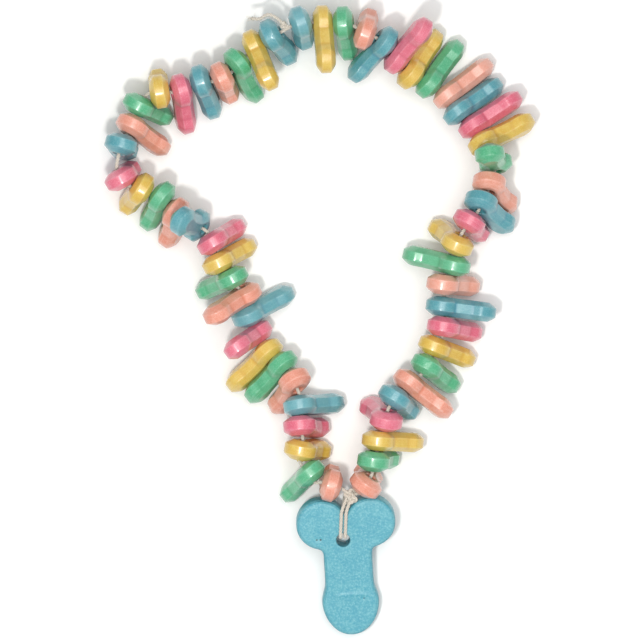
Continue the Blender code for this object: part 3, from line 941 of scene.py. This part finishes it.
# One cord as three twisted plies, returned as places, faces, grain and painted shade values (darker where
# the plies meet).
def twistedCord(route, closed=False):
    s = string
    route, length = evenRoute(route, s["step"] * mm, closed)
    first, second = acrossRoute(route, closed)
    n = len(route)
    turns = max(1, round(length / (s["twistLength"] * mm)))
    along = np.arange(n) / (n if closed else n - 1)
    sides = s["sides"]
    places, faces, grains, plyGapShades = [], [], [], []
    for ply in range(3):
        angle = 2 * math.pi * (turns * along + ply / 3)
        out = np.cos(angle)[:, None] * first + np.sin(angle)[:, None] * second
        around = -np.sin(angle)[:, None] * first + np.cos(angle)[:, None] * second
        centre = route + out * s["plyOffset"] * mm
        start = len(places)
        for i in range(n):
            for k in range(sides):
                a = 2 * math.pi * k / sides
                ring = out[i] * math.cos(a) + around[i] * math.sin(a)
                places.append(centre[i] + ring * s["ply"] * mm)
                grains.append((along[i] * length / mm, a / math.pi + ply * 7, ply * 3.0))
                # Painted shade on the side of each ply that faces into the cord, where the plies meet.
                plyGapShades.append(max(0.0, -math.cos(a)) ** 0.7)
        for i in range(n if closed else n - 1):
            here, there = start + i * sides, start + (i + 1) % n * sides
            for k in range(sides):
                m = (k + 1) % sides
                faces.append((here + k, here + m, there + m, there + k))
        if not closed:
            faces.append(tuple(start + k for k in reversed(range(sides))))
            faces.append(tuple(start + (n - 1) * sides + k for k in range(sides)))
    return places, faces, grains, plyGapShades


# A loose fibre: a thin four-sided thread that wanders from its root and tapers.
def thinFibre(start, direction, length, radius, rng):
    points = [start]
    heading = np.array(direction)
    wander = string["fibreWander"]
    for _ in range(string["fibreSteps"]):
        heading = heading + np.array([rng.uniform(-wander, wander) for _ in range(3)])
        heading /= np.linalg.norm(heading)
        points.append(points[-1] + heading * length / string["fibreSteps"])
    route = np.array(points)
    first, second = acrossRoute(route, False)
    places, faces = [], []
    for i, point in enumerate(route):
        thin = radius * (1 - string["fibreTaper"] * i / (len(route) - 1))
        for k in range(4):
            a = math.pi / 2 * k
            places.append(point + (first[i] * math.cos(a) + second[i] * math.sin(a)) * thin)
    for i in range(len(route) - 1):
        for k in range(4):
            m = (k + 1) % 4
            faces.append((i * 4 + k, i * 4 + m, i * 4 + 4 + m, i * 4 + 4 + k))
    return places, faces


# A tightened overhand knot, as the closed curve that its cord follows.
def trefoil(centre, size, turn):
    loop = []
    for t in np.linspace(0, 2 * math.pi, string["knotSteps"], endpoint=False):
        x = math.sin(t) + 2 * math.sin(2 * t)
        y = math.cos(t) - 2 * math.cos(2 * t)
        spot = Vector((x, y * string["knotStretch"], -math.sin(3 * t) * string["knotRise"]))
        spot = Matrix.Rotation(turn, 3, "Z") @ spot * size * mm
        loop.append(np.array(centre) + np.array(spot))
    return np.array(loop)


# Where the string leaves a bead: end is 1 ahead of it and -1 behind it.
def mouthOf(one, end):
    return one["hole"] + one["axis"] * (end * beadSolid["thickness"] / 2 * mm * one["size"][2])


def loopRoute(beads, knot):
    route = [knot, mouthOf(beads[0], -1)]
    for one, other in zip(beads, beads[1:]):
        leaving, entering = mouthOf(one, 1), mouthOf(other, -1)
        route.append(np.array(one["hole"]))
        if np.linalg.norm(entering - leaving) < string["shortGap"] * mm:
            route.append((leaving + entering) / 2)
        else:
            route += [leaving, entering]
    route += [np.array(beads[-1]["hole"]), mouthOf(beads[-1], 1)]
    return route


# One strand from the knot over the pendant's face, down its hole and back up behind it. The
# places are in the pendant's own frame, from its hole.
def strandRoute(side, place, knot):
    x = side * string["strandOffset"]
    ride = pendant["thickness"] / 2 + string["rideGap"] + string["radius"]
    local = [(x + 0.9, 9.6, ride), (x + 0.5, 7.0, ride), (x + 0.1, 2.9, ride), (x, 1.6, 4.8),
             (x, 0.9, 3.5), (x, 0.8, 0.0), (x, 0.9, -3.5), (x, 1.6, -4.8),
             (x, 2.9, -ride), (x + 1.4, 8.5, -ride), (x + 2.2, 12.8, -3.6)]
    route = [place @ (Vector(point) * mm) for point in local]
    start = knot + Vector((x, 0, 0)) * mm
    return [start] + route + [knot + Vector((x, 0, -1.2)) * mm]


def knotSpot(knot, shift):
    return onTable(knot["pixel"], knot["height"] * mm) + shift


def frayedEnd(route, rng):
    s = string
    end, heading = route[-1], route[-1] - route[-6]
    heading /= np.linalg.norm(heading)
    fibres = []
    for _ in range(s["fibres"]):
        spread = heading + np.array([rng.uniform(-s["fibreSpread"], s["fibreSpread"]) for _ in range(3)])
        root = end - heading * rng.uniform(0, s["fibreBack"]) * mm
        root = root + np.array([rng.uniform(-s["fibreScatter"], s["fibreScatter"]) * mm for _ in range(3)])
        length = s["fibreLength"] * rng.uniform(0.5, 1) * mm
        places, faces = thinFibre(root, spread, length, s["fibreRadius"] * mm, rng)
        grains = [(k * 0.3, 0.5, 1.0) for k in range(len(places))]
        fibres.append((places, faces, grains, [0.0] * len(places)))
    return fibres


def makeString(beads, place, shift, material):
    rng = random.Random(string["seed"])
    upper, lower, tie = string["knot"], string["lowerKnot"], string["tie"]
    knot = knotSpot(upper, shift)
    loop = smoothRoute(loopRoute(beads, np.array(knot)), True)
    parts = [twistedCord(loop, True)]
    for side in (-1, 1):
        parts.append(twistedCord(smoothRoute(strandRoute(side, place, knot))))
    parts.append(twistedCord(trefoil(knot, upper["size"], upper["turn"]), True))
    parts.append(twistedCord(trefoil(knotSpot(lower, shift), lower["size"], lower["turn"]), True))
    before, after = beads[tie["afterBead"] - 1], beads[tie["afterBead"]]
    tiedAt = (mouthOf(before, 1) + mouthOf(after, -1)) / 2
    tail = []
    for pixel, rise in zip(string["tailPixels"], string["tailRise"]):
        spot = onTable(pixel) + shift
        tail.append(Vector((spot.x, spot.y, tiedAt[2] + rise * mm)))
    parts.append(twistedCord(trefoil(tail[0], tie["size"], tie["turn"]), True))
    tailRoute = smoothRoute([Vector(tiedAt)] + tail)
    parts.append(twistedCord(tailRoute))
    parts += frayedEnd(tailRoute, rng)
    allPlaces, allFaces, allGrains, allPlyGapShades = [], [], [], []
    for places, faces, grains, plyGapShades in parts:
        base = len(allPlaces)
        allPlaces += [tuple(p) for p in places]
        allFaces += [tuple(i + base for i in face) for face in faces]
        allGrains += grains
        allPlyGapShades += plyGapShades
    piece = addPiece("cord", allPlaces, allFaces, material, {"grainPlace": allGrains, "plyGapShade": allPlyGapShades})
    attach(piece, "root")
    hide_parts("string")
    length = evenRoute(loop, string["step"] * mm, True)[1]
    print(f"string: {len(allFaces)} faces, loop of {length / mm:.0f} mm")


# Sugar crumbs on the table: the pixel, radius and height of each.
crumbs = {
    "slot": "yellow_candy",
    "lumps": [((300.5, 460.0), 1.1, 1.6), ((303.8, 459.0), 0.9, 1.3), ((306.5, 459.6), 0.6, 1.0)],
    "subdivisions": 4,
    "seed": 50,
    "noiseReach": 50,
    "noiseStep": 3.1,
    "swell": 0.35,
    "swellScale": 1.6,
    "fine": 0.12,
    "fineScale": 5,
    "squash": (1.0, 0.8, 0.75),
    "wear": {"ridge": 0.2, "paintedCreaseShade": 0.0, "chip": 0.6, "tone": 0.5},
}


def makeCrumbs(shift, materials):
    c = crumbs
    for number, (pixel, radius, height) in enumerate(c["lumps"], start=1):
        rng = random.Random(c["seed"] + number)
        bpy.ops.mesh.primitive_ico_sphere_add(subdivisions=c["subdivisions"], radius=1.0)
        ball = bpy.context.object
        offset = Vector((rng.uniform(0, c["noiseReach"]), number * c["noiseStep"], 0))
        places = []
        for vertex in ball.data.vertices:
            swell = 1 + c["swell"] * noise.noise(vertex.co * c["swellScale"] + offset)
            swell += c["fine"] * noise.noise(vertex.co * c["fineScale"] + offset)
            places.append(vertex.co * swell * radius)
        faces = [tuple(face.vertices) for face in ball.data.polygons]
        local = np.array([p[:] for p in places]) * c["squash"]
        bpy.data.objects.remove(ball, do_unlink=True)
        attributes = {"grainPlace": local + np.array(offset)}
        for title, value in c["wear"].items():
            attributes[title] = np.full(len(local), value)
        world = local * mm + np.array(onTable(pixel, height * mm) + shift)
        piece = addPiece(f"crumb_{number}", world, faces, materials[c["slot"]], attributes)
        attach(piece, "root")
    print(f"crumbs: {len(c['lumps'])} made")


# Studio: a camera straight above through a long lens, a small flash by it for the thin bright
# lines on the candy, a large soft light and a pale board.
view = {"distance": 3.0, "overTable": 0.012, "sensor": 36.0, "clipStart": 0.05, "clipEnd": 20.0}
lights = [
    {"name": "flash", "at": (-0.06, -0.11, 0.62), "size": 0.045, "power": 1.8, "tint": (1.0, 0.98, 0.95)},
    {"name": "softbox", "at": (0.1, 0.1, 1.3), "size": 0.9, "power": 8.8, "tint": (1.0, 0.99, 0.97)},
]
room = {"colour": (0.93, 0.96, 1.0), "strength": 0.48}
board = {
    "reach": 3,
    "cloud": 9.0,
    "dark": (0.88, 0.88, 0.87),
    "light": (0.91, 0.91, 0.90),
    "roughness": 0.85,
}


def makeCamera(shift):
    data = bpy.data.cameras.new("overhead")
    width = photo["pixels"] * photo["mmPerPixel"] * mm
    data.sensor_width = view["sensor"]
    data.lens = view["sensor"] * view["distance"] / width
    data.clip_start = view["clipStart"]
    data.clip_end = view["clipEnd"]
    camera = bpy.data.objects.new("overhead", data)
    camera.location = (shift.x, shift.y, view["distance"] + view["overTable"])
    bpy.context.scene.collection.objects.link(camera)
    bpy.context.scene.camera = camera
    print("camera: straight above")


def makeLights():
    for one in lights:
        data = bpy.data.lights.new(one["name"], "AREA")
        data.size = one["size"]
        data.energy = one["power"]
        data.color = one["tint"]
        lamp = bpy.data.objects.new(one["name"], data)
        lamp.location = one["at"]
        lamp.rotation_euler = (-Vector(one["at"])).to_track_quat("-Z", "Y").to_euler()
        bpy.context.scene.collection.objects.link(lamp)
    sky = bpy.data.worlds.new("studio")
    sky.use_nodes = True
    background = sky.node_tree.nodes["Background"]
    background.inputs["Color"].default_value = (*room["colour"], 1.0)
    background.inputs["Strength"].default_value = room["strength"]
    bpy.context.scene.world = sky
    bpy.context.scene.view_settings.view_transform = "Standard"
    print(f"lights: {len(lights)} and the room")


def makeFloor():
    material, tree, shader = newMaterial("pale_board")
    place = tree.nodes.new("ShaderNodeTexCoord").outputs["Object"]
    cloud = ramp(tree, grain(tree, place, board["cloud"], 3.0, 0.6), 0.3, 0.7)
    tree.links.new(mixColour(tree, cloud, board["dark"], board["light"]), shader.inputs["Base Color"])
    shader.inputs["Roughness"].default_value = board["roughness"]
    r = board["reach"]
    floor = addPiece("floor", [(-r, -r, 0), (r, -r, 0), (r, r, 0), (-r, r, 0)], [(0, 1, 2, 3)], material)


place = pendantPlace()
shift = place.translation - onTable(photo["pendantHole"])  # from the photo's frame to the CAD's
shift.z = 0
materials = {}
for name in candyColours:
    if name == "pendant_candy":
        materials[name] = candyMaterial(name, candyFinish["matt"], speckSpots(place))
    else:
        materials[name] = candyMaterial(name, candyFinish["gloss"])
print(f"materials: {len(materials)} candies")
beads = readBeads()
makeCamera(shift)
makeLights()
makeFloor()
makeBeads(beads, materials)
makePendant(place, materials)
makeString(beads, place, shift, stringMaterial())
makeCrumbs(shift, materials)
